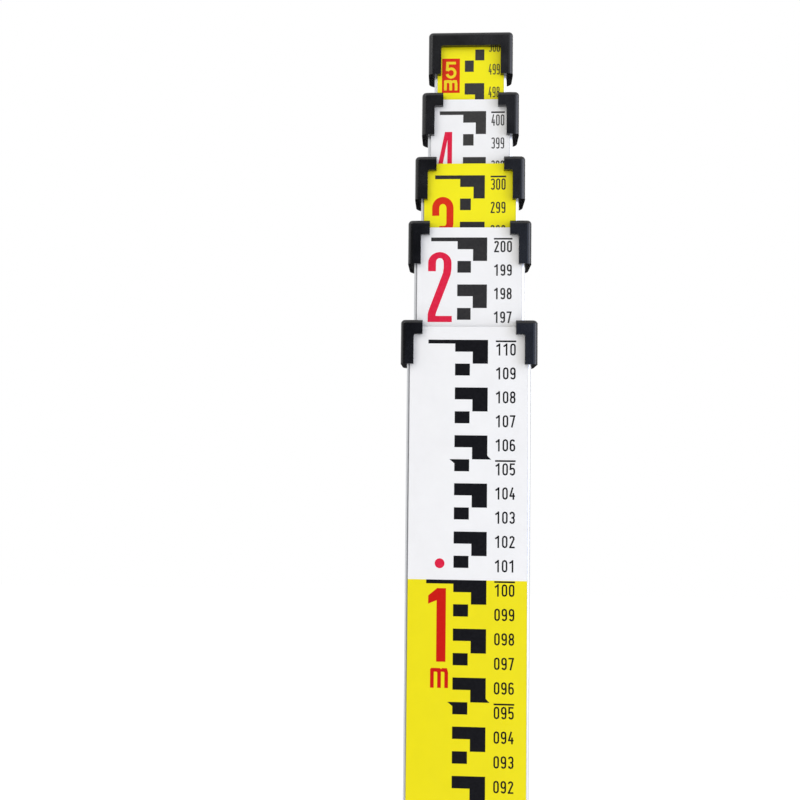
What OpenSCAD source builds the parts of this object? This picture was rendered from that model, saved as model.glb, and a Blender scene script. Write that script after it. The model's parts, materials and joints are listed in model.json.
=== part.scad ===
// Telescoping leveling staff: flat tubes that slide inside each other, graduated on the
// front and on the back, with plastic guide collars, a closed cap and a screwed foot.
// It stands on z = 0, collapsed. X runs across the face, the front looks along -Y, and
// sections are counted from the outermost, 1, to the innermost, 5.

/* [Tubes] */
// Width of the outermost section across its face
face_w = 52; // [50:0.5:60]
// Depth of the outermost section, front to back
body_d = 27; // [26.5:0.5:34]
// Wall thickness of every section
wall_t = 1.2; // [1:0.05:1.25]
// Gap beside each section inside the next larger one
side_gap = 1.4; // [1.2:0.1:1.7]
// Gap in front of and behind each section
face_gap = 0.8; // [0.6:0.05:0.85]
// Radius of the front corners
front_r = 1.6; // [1.4:0.1:2.4]
// Radius of the outermost section's back corners
back_r = 8; // [7.8:0.1:9]
// How much smaller the back corners of each next section are
back_r_step = 1.6; // [1.4:0.1:1.65]

/* [Heights] */
// Top edge of the outermost section above the ground
top_1 = 1105.5; // [1060:0.5:1150]
// How far the top of section 2 stands above section 1, collapsed
rise_2 = 42.5; // [24:0.5:60]
// How far the top of section 3 stands above section 2, collapsed
rise_3 = 28; // [24:0.5:60]
// How far the top of section 4 stands above section 3, collapsed
rise_4 = 28.5; // [24:0.5:60]
// How far the top of section 5 stands above section 4, collapsed
rise_5 = 27; // [24:0.5:60]

/* [Extension] */
// How far section 2 slides up to its lock
travel_2 = 856.3; // [700:0.1:900]
// How far section 3 slides up to its lock
travel_3 = 972.8; // [700:0.1:990]
// How far section 4 slides up to its lock
travel_4 = 971.5; // [700:0.5:990]
// How far section 5 slides up to its lock
travel_5 = 967; // [700:0.1:990]

/* [Collars] */
// Height of each collar and of the cap
collar_h = 18.5; // [14:0.5:22]
// Collar thickness beside the tube
collar_side_t = 2.6; // [2:0.1:3.2]
// Collar thickness in front of and behind the tube
collar_face_t = 2.3; // [1.8:0.1:3]
// Thickness of the lip over the tube's end
lip_t = 2.7; // [1.7:0.1:3]
// How far the collar's jaws reach in over the front face
jaw_w = 5.4; // [4.6:0.1:6.5]
// How far the hooks at the top of the jaws reach in
hook_w = 9.1; // [8.4:0.1:10]
// Height of the hooks, and of the cap's front bridge
hook_h = 6; // [4:0.5:8]
// Fillet in the corner under each hook
hook_r = 0.7; // [0.5:0.1:2]
// Radius of the collars' front corners
collar_front_r = 2; // [1.9:0.1:2.4]
// Rounding of the collars' top edge
edge_r = 1.6; // [0.5:0.1:1.8]
// Clearance around the section that slides through a collar
guide_gap = 0.35; // [0.25:0.05:0.45]

/* [Printed strips] */
// Thickness of the printed strips on the front and the back
strip_t = 0.3; // [0.2:0.05:0.4]
// How far a strip's face lies below the tube around it
strip_set = 0.05; // [0.05:0.05:0.1]
// Bare edge of the tube at each side of the front strip
front_edge = 1.3; // [1.1:0.1:2]
// Bare flat of the tube at each side of the back strip
back_edge = 0.4; // [0.2:0.1:0.6]
// Gap between the back strip's ends and the collar or shoe
strip_end_gap = 0.2; // [0.1:0.05:0.4]

/* [End plugs] */
// Thickness of the plug's guide flange below the tube
flange_t = 4; // [3:0.5:6]
// Clearance around the flange inside the next larger section
flange_gap = 0.3; // [0.25:0.05:0.4]
// Height of the plug's body inside the tube
plug_h = 18; // [17:0.5:26]

/* [Lock buttons] */
// Height of a button's axis above its section's lower end
button_h = 11; // [8:0.5:13]
// Diameter of the button's stem
button_d = 5; // [4:0.1:5.2]
// Diameter of the button's flange
button_flange_d = 6; // [5.8:0.1:6.2]
// Thickness of the button's flange
button_flange_t = 1.2; // [0.8:0.1:1.6]
// Free travel outward before the flange meets the tube wall
pop_travel = 2.3; // [1.6:0.1:2.6]
// Gap between the button's tip and the wall it slides along
tip_gap = 0.1; // [0.05:0.05:0.2]
// Bevel around the button's tip
tip_bevel = 0.5; // [0.2:0.1:0.8]
// Diameter of the lock holes
lock_hole_d = 5.8; // [5.6:0.1:7]

/* [Button springs] */
// Room for the spring behind the flange
spring_room = 6; // [5:0.5:7]
// Outside diameter of the spring
spring_d = 4.6; // [4.4:0.1:5.2]
// Wire diameter
wire_d = 0.5; // [0.4:0.05:0.6]
// Number of coils
coils = 5; // [3:1:6]
// Gap between the spring's ends and what it presses on
spring_end_gap = 0.1; // [0.05:0.05:0.2]
// Diameter of the spigot that centres the spring
spigot_d = 3; // [2:0.1:3.1]
// Length of the spigot
spigot_len = 1.5; // [0.5:0.1:2]

/* [Plug rivets] */
// Diameter of the rivet's shank
rivet_d = 3.2; // [2.4:0.1:4]
// Diameter of the rivet's head
rivet_head_d = 6; // [5:0.1:7]
// Thickness of the rivet's head
rivet_head_t = 0.8; // [0.5:0.1:0.9]
// Depth of the rivet behind the head
rivet_len = 6; // [4:0.5:7]

/* [Foot] */
// Thickness of the steel base plate
plate_t = 3; // [2.6:0.1:5]
// Number of flats that each corner of the base plate is cut in
corner_flats = 3; // [2:1:3]
// Height of the plastic shoe above the base plate
shoe_h = 25; // [15:0.5:40]
// Height of the block that closes the lower end of section 1
block_h = 12; // [11:0.5:20]
// Thickness of the pad that the sliding sections land on
pad_t = 3; // [2:0.5:5]
// Gap around the landing pad
pad_gap = 0.3; // [0.2:0.05:0.5]
// Distance between the two base screws
screw_pitch = 30; // [20:0.5:34]
// Shank diameter of the base screws
screw_d = 4; // [3:0.1:4.5]
// Head diameter of the base screws
screw_head_d = 8; // [7:0.1:8.5]
// Height of the countersunk head
screw_head_h = 2.2; // [1.8:0.1:2.3]
// Length of the base screws
screw_len = 11; // [9:0.5:12]
// How deep the heads sit below the plate's face
screw_set = 0.2; // [0.1:0.05:0.3]
// Width of the driver slot
slot_w = 1; // [0.8:0.1:1.2]
// Depth of the driver slot
slot_t = 1; // [0.6:0.1:1.2]

/* [Hidden] */
$fn = 48;

// Clearance of pieces that are pressed or glued together
fit = 0.05;
// Radial clearance of the buttons in their bores
bore_gap = 0.08;
// How far cuts run past the faces they open
past = 1;
// Smallest corner that a wall leaves inside
least_r = 0.1;

alu = "#C9CCCF";
black = "#1E1E21";
yellow = "#EBE218";
white = "#F2F4F5";
steel = "#A8ABAE";
nylon = "#D8D5CC";
rubber = "#2A2A2A";

rise = [0, 0, rise_2, rise_3, rise_4, rise_5];
travel = [0, 0, travel_2, travel_3, travel_4, travel_5];
strip_seat = strip_t + strip_set;
pad_top = plate_t + block_h + pad_t;

function section_w(k) = face_w - 2 * (k - 1) * (wall_t + side_gap);
function section_d(k) = body_d - 2 * (k - 1) * (wall_t + face_gap);
function section_back_r(k) = back_r - (k - 1) * back_r_step;
function section_top(k) = k == 1 ? top_1 : section_top(k - 1) + rise[k];
// Section 1 stands on the base plate, and each other one on the plug below it
function section_foot(k) =
    k == 1 ? plate_t :
    k == 2 ? pad_top + flange_t :
    section_foot(k - 1) + plug_h + flange_t;
function collar_w(k) = section_w(k) + 2 * collar_side_t;
function collar_d(k) = section_d(k) + 2 * collar_face_t;
function collar_top(k) = section_top(k) + lip_t;
function front_strip_w(k) = section_w(k) - 2 * front_edge;
function back_strip_w(k) = section_w(k) - 2 * section_back_r(k) - 2 * back_edge;
function button_z(k) = section_foot(k) + button_h;
// Along X, from the tube's inner side wall inward: the flange, then the spring's room
function flange_x(k) = section_w(k) / 2 - wall_t - pop_travel;
function spring_x(k) = flange_x(k) - button_flange_t;
function bore_end_x(k) = spring_x(k) - spring_room;

// Rectangle with small front corners and large back corners
module outline(w, d, rf, rb) {
    for (side = [-1, 1]) {
        translate([side * (w / 2 - rf), rf - d / 2]) circle(rf);
        translate([side * (w / 2 - rb), d / 2 - rb]) circle(rb);
    }
    polygon([
        [rf - w / 2, -d / 2], [w / 2 - rf, -d / 2],
        [w / 2, rf - d / 2], [w / 2, d / 2 - rb],
        [w / 2 - rb, d / 2], [rb - w / 2, d / 2],
        [-w / 2, d / 2 - rb], [-w / 2, rf - d / 2]
    ]);
}

// Outer outline of section k, grown by gap
module section_outline(k, gap = 0) {
    outline(section_w(k) + 2 * gap, section_d(k) + 2 * gap,
            front_r + gap, section_back_r(k) + gap);
}

// Outline of the space inside section k, less gap all round
module inside_outline(k, gap = 0) {
    t = wall_t + gap;
    outline(section_w(k) - 2 * t, section_d(k) - 2 * t,
            max(least_r, front_r - t), max(least_r, section_back_r(k) - t));
}

// Cylinder along +X from the point p
module along_x(p, d, len) {
    translate(p) rotate([0, 90, 0]) cylinder(d = d, h = len);
}

// Hole through the right-hand side wall of section k
module side_hole(k, z, d) {
    along_x([section_w(k) / 2 - wall_t - past, 0, z], d, wall_t + 2 * past);
}

// Flat extruded tube with the seats of its printed strips and its cross holes
module section(k) {
    foot = section_foot(k);
    seat_w = front_strip_w(k) + 2 * fit;
    back_seat_w = back_strip_w(k) + 2 * fit;
    color(alu) difference() {
        translate([0, 0, foot]) linear_extrude(section_top(k) - foot) difference() {
            section_outline(k);
            inside_outline(k);
            translate([-seat_w / 2, -section_d(k) / 2 - past])
                square([seat_w, strip_seat + past]);
            translate([-back_seat_w / 2, section_d(k) / 2 - strip_seat])
                square([back_seat_w, strip_seat + past]);
        }
        // The next section's button springs into this hole at full extension
        if (k < 5) side_hole(k, button_z(k + 1) + travel[k + 1], lock_hole_d);
        if (k > 1) {
            side_hole(k, button_z(k), button_d + 2 * bore_gap);
            mirror([1, 0, 0]) side_hole(k, button_z(k), rivet_d + 2 * fit);
        }
    }
}

// Printed strip on the front face, over the section's full length
module front_scale(k) {
    color(k % 2 == 1 ? yellow : white)
        translate([-front_strip_w(k) / 2, strip_set - section_d(k) / 2, section_foot(k)])
            cube([front_strip_w(k), strip_t, section_top(k) - section_foot(k)]);
}

// Printed strip on the back, from the shoe or the section's foot up to the collar
module back_scale(k) {
    low = k == 1 ? plate_t + shoe_h + strip_end_gap : section_foot(k);
    high = collar_top(k) - collar_h - strip_end_gap;
    color(k % 2 == 1 ? yellow : white)
        translate([-back_strip_w(k) / 2, section_d(k) / 2 - strip_seat, low])
            cube([back_strip_w(k), strip_t, high - low]);
}

// Half of a rounded block's upright profile: from the middle out to r, rounded at the top
module rim_profile(r, tall) {
    intersection() {
        union() {
            square([r, tall - edge_r]);
            square([r - edge_r, tall]);
            translate([r - edge_r, tall - edge_r]) circle(edge_r);
        }
        square([r, tall]);
    }
}

// That profile towards +X, drawn out along Y
module rim_slab(r, tall, len) {
    rotate([90, 0, 0]) linear_extrude(len, center = true) rim_profile(r, tall);
}

// Block on the outline of the same sizes, with its top edge rounded all round
module rim_block(w, d, rf, rb, tall) {
    translate([0, (rf - rb) / 2, 0])
        for (turn = [0, 180]) rotate(turn) rim_slab(w / 2, tall, d - rf - rb);
    for (turn = [-90, 90]) rotate(turn) rim_slab(d / 2, tall, w - 2 * rb);
    translate([0, rf - d / 2, 0]) rotate(-90) rim_slab(rf, tall, w - 2 * rf);
    for (side = [-1, 1]) {
        translate([side * (w / 2 - rf), rf - d / 2, 0]) rotate_extrude() rim_profile(rf, tall);
        translate([side * (w / 2 - rb), d / 2 - rb, 0]) rotate_extrude() rim_profile(rb, tall);
    }
}

// Front window between the jaws, seen from the front: wide below the hooks, narrower above
module window_profile(k, open_top) {
    wide = collar_w(k) - 2 * jaw_w;
    hook_z = collar_top(k) - hook_h;
    low = hook_z - collar_h;
    for (side = [-1, 1]) translate([side * (wide / 2 - hook_r), hook_z - hook_r]) circle(hook_r);
    translate([-wide / 2, low]) square([wide, collar_h - hook_r]);
    translate([hook_r - wide / 2, low]) square([wide - 2 * hook_r, collar_h]);
    if (open_top) {
        narrow = collar_w(k) - 2 * hook_w;
        translate([-narrow / 2, low]) square([narrow, collar_h + hook_h + past]);
    }
}

// Plastic cap on the top of section k, with a window in its front
module capped(k) {
    low = collar_top(k) - collar_h;
    difference() {
        translate([0, 0, low])
            rim_block(collar_w(k), collar_d(k), collar_front_r,
                      section_back_r(k) + collar_face_t, collar_h);
        translate([0, 0, low - past]) linear_extrude(section_top(k) - low + past)
            section_outline(k, fit);
        // The last collar is closed over the tube, and its window ends below the bridge
        translate([0, k < 5 ? -section_d(k + 1) / 2 : past - section_d(k) / 2, 0])
            rotate([90, 0, 0]) linear_extrude(collar_d(k)) window_profile(k, k < 5);
        if (k < 5) translate([0, 0, low]) linear_extrude(collar_h + past)
            section_outline(k + 1, guide_gap);
    }
}

// Collar that guides the section above it
module collar(k) {
    color(black) capped(k);
}

// Closed cap of the innermost section
module top_cap() {
    color(black) capped(5);
}

// Plug in the lower end of section k, with a flange that guides it in the next larger one
module end_plug(k) {
    foot = section_foot(k);
    color(nylon) difference() {
        translate([0, 0, foot - flange_t]) {
            linear_extrude(flange_t) inside_outline(k - 1, flange_gap);
            linear_extrude(flange_t + plug_h) inside_outline(k, fit);
        }
        along_x([bore_end_x(k), 0, button_z(k)], button_flange_d + 2 * bore_gap, section_w(k));
        mirror([1, 0, 0])
            along_x([section_w(k) / 2 - rivet_len - fit, 0, button_z(k)],
                    rivet_d + 2 * fit, section_w(k));
    }
}

// Rivet that holds the plug, on the side away from the button
module plug_rivet(k) {
    x = section_w(k) / 2;
    color(steel) mirror([1, 0, 0]) {
        along_x([x - rivet_len, 0, button_z(k)], rivet_d, rivet_len + rivet_head_t / 2);
        along_x([x, 0, button_z(k)], rivet_head_d, rivet_head_t);
    }
}

// Button: stem through the tube wall, flange behind it, and a spigot in the spring
module lock_button(k) {
    z = button_z(k);
    tip_x = section_w(k) / 2 + side_gap - tip_gap;
    color(steel) {
        along_x([spring_x(k), 0, z], button_d, tip_x - tip_bevel - spring_x(k));
        translate([tip_x - tip_bevel, 0, z]) rotate([0, 90, 0])
            cylinder(h = tip_bevel, d1 = button_d, d2 = button_d - 2 * tip_bevel);
        along_x([spring_x(k), 0, z], button_flange_d, button_flange_t);
        along_x([spring_x(k) - spigot_len, 0, z], spigot_d, spigot_len + past / 2);
    }
}

// Coil spring behind the button
module button_spring(k) {
    coil_r = (spring_d - wire_d) / 2;
    x0 = bore_end_x(k) + spring_end_gap + wire_d / 2;
    length = spring_room - 2 * spring_end_gap - wire_d;
    sides = 6;
    steps = coils * 12;
    points = [for (i = [0:steps], j = [0:sides - 1])
        let (turn = 360 * coils * i / steps, around = 360 * j / sides,
             r = coil_r + wire_d / 2 * cos(around))
        [x0 + length * i / steps + wire_d / 2 * sin(around), r * cos(turn), r * sin(turn)]];
    walls = [for (i = [0:steps - 1], j = [0:sides - 1])
        let (a = i * sides + j, b = i * sides + (j + 1) % sides)
        each [[a, b, b + sides], [a, b + sides, a + sides]]];
    ends = [for (j = [1:sides - 2]) each [
        [0, j + 1, j], [steps * sides, steps * sides + j, steps * sides + j + 1]]];
    color(steel) translate([0, 0, button_z(k)]) polyhedron(points, concat(walls, ends));
}

// Outline of the foot, the same as the lowest collar's
module foot_outline() {
    outline(collar_w(1), collar_d(1), collar_front_r, section_back_r(1) + collar_face_t);
}

// Both base screws' places
module at_screws() {
    for (side = [-1, 1]) translate([side * screw_pitch / 2, 0, 0]) children();
}

// Steel plate that the staff stands on, with corners cut in short flats
module base_plate() {
    color(steel) difference() {
        linear_extrude(plate_t) foot_outline($fn = 4 * corner_flats);
        at_screws() {
            translate([0, 0, -past]) cylinder(d = screw_head_d + 2 * fit, h = screw_set + past);
            translate([0, 0, screw_set]) cylinder(
                d1 = screw_head_d + 2 * fit, d2 = screw_d + 2 * fit, h = screw_head_h);
            cylinder(d = screw_d + 2 * fit, h = plate_t + past);
        }
    }
}

// Countersunk screws through the plate into the block
module base_screws() {
    color(steel) at_screws() difference() {
        translate([0, 0, screw_set]) {
            cylinder(d1 = screw_head_d, d2 = screw_d, h = screw_head_h);
            cylinder(d = screw_d, h = screw_len);
        }
        translate([-screw_head_d, -slot_w / 2, 0]) cube([2 * screw_head_d, slot_w, screw_set + slot_t]);
    }
}

// Plastic shoe around the lower end
module base_shoe() {
    color(black) difference() {
        translate([0, 0, plate_t])
            rim_block(collar_w(1), collar_d(1), collar_front_r,
                      section_back_r(1) + collar_face_t, shoe_h);
        linear_extrude(plate_t + shoe_h + past) section_outline(1, fit);
    }
}

// Block in the lower end of section 1 that the screws bite into
module foot_block() {
    color(nylon) difference() {
        translate([0, 0, plate_t]) linear_extrude(block_h) inside_outline(1, fit);
        at_screws() cylinder(d = screw_d + 2 * fit, h = screw_set + screw_len + fit);
    }
}

// Rubber pad on the block, on which the sliding sections land
module landing_pad() {
    color(rubber) translate([0, 0, plate_t + block_h]) linear_extrude(pad_t)
        inside_outline(1, pad_gap);
}

section(1);  // section_1
section(2);  // section_2
section(3);  // section_3
section(4);  // section_4
section(5);  // section_5
front_scale(1);  // front_scale_1
front_scale(2);  // front_scale_2
front_scale(3);  // front_scale_3
front_scale(4);  // front_scale_4
front_scale(5);  // front_scale_5
back_scale(1);  // back_scale_1
back_scale(2);  // back_scale_2
back_scale(3);  // back_scale_3
back_scale(4);  // back_scale_4
back_scale(5);  // back_scale_5
collar(1);  // collar_1
collar(2);  // collar_2
collar(3);  // collar_3
collar(4);  // collar_4
top_cap();
end_plug(2);  // end_plug_2
end_plug(3);  // end_plug_3
end_plug(4);  // end_plug_4
end_plug(5);  // end_plug_5
plug_rivet(2);  // plug_rivet_2
plug_rivet(3);  // plug_rivet_3
plug_rivet(4);  // plug_rivet_4
plug_rivet(5);  // plug_rivet_5
lock_button(2);  // lock_button_2
lock_button(3);  // lock_button_3
lock_button(4);  // lock_button_4
lock_button(5);  // lock_button_5
button_spring(2);  // button_spring_2
button_spring(3);  // button_spring_3
button_spring(4);  // button_spring_4
button_spring(5);  // button_spring_5
base_plate();
base_screws();
base_shoe();
foot_block();
landing_pad();
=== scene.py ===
import json
import math

import bmesh
import bpy
from mathutils import Matrix, Vector

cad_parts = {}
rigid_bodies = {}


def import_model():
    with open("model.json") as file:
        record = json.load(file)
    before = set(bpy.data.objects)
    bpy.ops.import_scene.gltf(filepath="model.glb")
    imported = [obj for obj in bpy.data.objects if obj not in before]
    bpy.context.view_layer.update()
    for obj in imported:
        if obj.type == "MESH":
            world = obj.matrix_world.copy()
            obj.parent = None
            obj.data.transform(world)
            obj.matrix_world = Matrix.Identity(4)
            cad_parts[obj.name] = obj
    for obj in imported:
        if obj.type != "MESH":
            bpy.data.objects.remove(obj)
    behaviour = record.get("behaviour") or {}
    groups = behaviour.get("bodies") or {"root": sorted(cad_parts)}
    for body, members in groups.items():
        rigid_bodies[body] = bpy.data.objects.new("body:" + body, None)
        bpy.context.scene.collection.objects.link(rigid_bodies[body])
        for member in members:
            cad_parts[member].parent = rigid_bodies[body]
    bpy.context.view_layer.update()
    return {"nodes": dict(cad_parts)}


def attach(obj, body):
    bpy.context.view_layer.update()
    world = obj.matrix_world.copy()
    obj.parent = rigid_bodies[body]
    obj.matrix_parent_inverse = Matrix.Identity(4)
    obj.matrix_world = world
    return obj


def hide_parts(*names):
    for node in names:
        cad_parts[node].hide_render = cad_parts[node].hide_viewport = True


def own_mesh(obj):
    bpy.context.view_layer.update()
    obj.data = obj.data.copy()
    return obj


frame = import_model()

nodes = frame["nodes"]
MM = 0.001


# Camera: it stands 0.4 m in front of the staff, 5 cm under the top edge of its outer tube, and
# is turned 3 degrees to the left, 2.4 degrees up and 0.6 degrees over, so the staff stands in
# the right half of the picture.
picture_px = 800
focal_px = 923.21
sensor_mm = 36.0
nearest_seen = 10 * MM
camera_place = Vector((-7.88, -400.0, 1058.05)) * MM
camera_yaw = 0.05383
camera_pitch = 0.04248
camera_roll = 0.01085

camera_data = bpy.data.cameras.new("camera")
camera_data.sensor_width = sensor_mm
camera_data.lens = sensor_mm * focal_px / picture_px
camera_data.clip_start = nearest_seen
camera = bpy.data.objects.new("camera", camera_data)
bpy.context.scene.collection.objects.link(camera)
camera.matrix_world = (
    Matrix.Translation(camera_place)
    @ Matrix.Rotation(camera_yaw, 4, "Z")
    @ Matrix.Rotation(math.pi / 2 + camera_pitch, 4, "X")
    @ Matrix.Rotation(camera_roll, 4, "Z")
)
bpy.context.scene.camera = camera
bpy.context.scene.view_settings.view_transform = "Standard"


# Studio: a matt white floor that keeps the staff's shadow, a white room all round, and three
# large soft lamps at the plain level at which a colour renders about as it is written.
def linear(hex_colour):
    """An sRGB hex colour as the linear RGBA that the shaders take."""
    channels = [int(hex_colour[i:i + 2], 16) / 255 for i in (1, 3, 5)]
    return tuple(
        c / 12.92 if c <= 0.04045 else ((c + 0.055) / 1.055) ** 2.4 for c in channels
    ) + (1.0,)


def add_node(tree, kind, inputs=(), **settings):
    """Adds a node with its settings; inputs maps its sockets to values or to other sockets."""
    made = tree.nodes.new(kind)
    for name, value in settings.items():
        setattr(made, name, value)
    for socket, value in dict(inputs).items():
        if isinstance(value, bpy.types.NodeSocket):
            tree.links.new(value, made.inputs[socket])
        else:
            made.inputs[socket].default_value = value
    return made


def bare_material(name):
    """A new material with an empty node tree, and that tree."""
    made = bpy.data.materials.new(name)
    made.use_nodes = True
    made.node_tree.nodes.clear()
    return made, made.node_tree


def background_share(tree):
    """1 on the rays that show the background, straight, reflected or through glass, else 0."""
    ray = add_node(tree, "ShaderNodeLightPath")
    seen = add_node(tree, "ShaderNodeMath", {0: ray.outputs["Is Camera Ray"],
                    1: ray.outputs["Is Glossy Ray"]}, operation="MAXIMUM")
    seen = add_node(tree, "ShaderNodeMath", {0: seen.outputs[0],
                    1: ray.outputs["Is Transmission Ray"]}, operation="MAXIMUM")
    return seen.outputs[0]


room_light, room_white = 0.76, 1.0
room = bpy.data.worlds.new("white room")
room.use_nodes = True
tree = room.node_tree
tree.nodes.clear()
level = add_node(tree, "ShaderNodeMapRange", {"Value": background_share(tree),
                 "To Min": room_light, "To Max": room_white})
shine = add_node(tree, "ShaderNodeBackground", {"Color": (1.0, 1.0, 1.0, 1.0),
                 "Strength": level.outputs["Result"]})
add_node(tree, "ShaderNodeOutputWorld", {"Surface": shine.outputs[0]})
bpy.context.scene.world = room

# The far floor is lifted to white, and less so near the foot, where the staff's shadow lies.
floor_size = 12.0
near_foot, far_off = 0.4, 2.4
lift_near, lift_far = 0.14, 0.42
white_floor, tree = bare_material("matt white floor")
place = add_node(tree, "ShaderNodeTexCoord")
away = add_node(tree, "ShaderNodeVectorMath", {0: place.outputs["Object"]}, operation="LENGTH")
level = add_node(tree, "ShaderNodeMapRange", {"Value": away.outputs["Value"],
                 "From Min": near_foot, "From Max": far_off, "To Min": lift_near,
                 "To Max": lift_far})
lift = add_node(tree, "ShaderNodeMath", {0: background_share(tree), 1: level.outputs[0]},
                operation="MULTIPLY")
paint = add_node(tree, "ShaderNodeBsdfDiffuse", {"Color": linear("#F1F1F1")})
glow = add_node(tree, "ShaderNodeEmission", {"Strength": lift.outputs[0]})
both = add_node(tree, "ShaderNodeAddShader", {0: paint.outputs[0], 1: glow.outputs[0]})
add_node(tree, "ShaderNodeOutputMaterial", {"Surface": both.outputs[0]})
half = floor_size / 2
floor_mesh = bpy.data.meshes.new("floor")
floor_mesh.from_pydata(
    [(-half, -half, 0), (half, -half, 0), (half, half, 0), (-half, half, 0)], [], [(0, 1, 2, 3)])
floor_mesh.materials.append(white_floor)
floor = bpy.data.objects.new("floor", floor_mesh)
bpy.context.scene.collection.objects.link(floor)

neutral, cool = (1.0, 1.0, 1.0), (0.72, 0.78, 1.0)
for lamp_name, place, target, width, height, watts, tint in (
        ("left lamp", (-1.3, -1.7, 2.2), (0, 0, 0.75), 1.1, 1.6, 9.5, neutral),
        ("right lamp", (1.75, -0.9, 1.3), (0, 0, 1.0), 1.1, 1.6, 17.0, cool),
        ("back lamp", (0.9, 1.9, 1.9), (0, 0, 0.7), 1.1, 1.5, 12.5, neutral)):
    lamp_data = bpy.data.lights.new(lamp_name, "AREA")
    lamp_data.shape = "RECTANGLE"
    lamp_data.color = tint
    lamp_data.size, lamp_data.size_y, lamp_data.energy = width, height, watts
    lamp = bpy.data.objects.new(lamp_name, lamp_data)
    bpy.context.scene.collection.objects.link(lamp)
    lamp.location = place
    lamp.rotation_euler = (Vector(target) - Vector(place)).to_track_quat("-Z", "Y").to_euler()


# Three cards show only in the staff's reflections. The dark ones, before and behind it, keep
# flat black faces black and leave the light to the rounded edges, above all to the right ones;
# they end above the staff's height, so the cap reflects more of the white room than the rest.
# The pale blue one gives the right jaws of the lower collars their cool tone.
def reflected_card(name, material, left, right, y, high):
    """A card that stands on the floor and shows in reflections alone."""
    mesh = bpy.data.meshes.new(name)
    mesh.from_pydata([(left, y, 0), (right, y, 0), (right, y, high), (left, y, high)], [],
                     [(0, 1, 2, 3)])
    mesh.materials.append(material)
    card = bpy.data.objects.new(name, mesh)
    bpy.context.scene.collection.objects.link(card)
    card.visible_camera = card.visible_diffuse = card.visible_shadow = False
    card.visible_transmission = False


card_seam, card_y = 0.22, 1.6
dark_high, blue_high = 2.05, 1.72
dark_card, tree = bare_material("dark card")
felt = add_node(tree, "ShaderNodeBsdfDiffuse", {"Color": linear("#1E1E1E")})
add_node(tree, "ShaderNodeOutputMaterial", {"Surface": felt.outputs[0]})
blue_card, tree = bare_material("pale blue card")
sky = add_node(tree, "ShaderNodeEmission", {"Color": linear("#C4D6FF"), "Strength": 1.6})
add_node(tree, "ShaderNodeOutputMaterial", {"Surface": sky.outputs[0]})
reflected_card("card before", dark_card, -3.2, card_seam, -card_y, dark_high)
reflected_card("card behind", dark_card, -0.4, 0.4, card_y, dark_high)
reflected_card("card at the right", blue_card, card_seam, 0.95, -card_y, blue_high)


# Tubes: section_1 to section_5, flat tubes of extruded aluminium, one inside the other.
# They are drawn through a die and then anodised, which leaves a satin silver skin with fine
# straight lines along the staff.
def new_material(name):
    """A new node material with one Principled shader, which is returned with its tree."""
    made, tree = bare_material(name)
    shader = add_node(tree, "ShaderNodeBsdfPrincipled")
    add_node(tree, "ShaderNodeOutputMaterial", {"Surface": shader.outputs["BSDF"]})
    return made, tree, shader


def dress(node, material):
    """Gives a carried-over piece its material in place of the plain one it came with."""
    mesh = nodes[node].data
    for index in range(len(mesh.materials)):
        mesh.materials[index] = material


# Anodised aluminium: a pale grey metal, satin, with drawn lines 0.5 mm apart. The real lines
# are finer; they are drawn this coarse so that they still show at arm's length.
sections = (1, 2, 3, 4, 5)
colour_a, colour_b, colour_out = 6, 7, 2  # the places of a colour Mix node's sockets
anodised, tree, shader = new_material("satin anodised aluminium")
line_pitch, line_length = 0.5 * MM, 500 * MM
cloud_width, cloud_length = 16.7 * MM, 167 * MM
where = add_node(tree, "ShaderNodeTexCoord")
along = add_node(tree, "ShaderNodeMapping", {"Vector": where.outputs["Object"],
                 "Scale": (1 / line_pitch, 1 / line_pitch, 1 / line_length)})
lines = add_node(tree, "ShaderNodeTexNoise", {"Vector": along.outputs[0], "Scale": 1.0,
                 "Detail": 3.0, "Roughness": 0.6})
cloud_map = add_node(tree, "ShaderNodeMapping", {"Vector": where.outputs["Object"],
                     "Scale": (1 / cloud_width, 1 / cloud_width, 1 / cloud_length)})
cloud = add_node(tree, "ShaderNodeTexNoise", {"Vector": cloud_map.outputs[0], "Scale": 1.0,
                 "Detail": 4.0})
tone = add_node(tree, "ShaderNodeMapRange", {"Value": lines.outputs["Fac"], "From Min": 0.3,
                "From Max": 0.7})
skin = add_node(tree, "ShaderNodeMix", {"Factor": tone.outputs[0],
                colour_a: linear("#C6C8CB"), colour_b: linear("#DBDCDE")}, data_type="RGBA")
tree.links.new(skin.outputs[colour_out], shader.inputs["Base Color"])
shader.inputs["Metallic"].default_value = 1.0
satin = add_node(tree, "ShaderNodeMapRange", {"Value": cloud.outputs["Fac"], "From Min": 0.3,
                 "From Max": 0.7, "To Min": 0.30, "To Max": 0.42})
tree.links.new(satin.outputs[0], shader.inputs["Roughness"])
relief = add_node(tree, "ShaderNodeBump", {"Height": lines.outputs["Fac"], "Strength": 0.25,
                  "Distance": 0.02 * MM})
tree.links.new(relief.outputs[0], shader.inputs["Normal"])
for k in sections:
    dress(f"section_{k}", anodised)


# Printed strips: front_scale_1 to _5 and back_scale_1 to _5, polyester film printed yellow
# and white by turns, one colour to each metre, glued into the flats of the tubes.
# Printed film: smooth, opaque and strong in colour, under a soft gloss.
metre = 1000  # in mm, as all sizes of the print are
film_white, film_yellow, film_bright_yellow = "#F5F4F2", "#F3E400", "#F9EE0C"
uneven_size = 8.3 * MM
rub_width, rub_length = 1.1 * MM, 100 * MM


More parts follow.
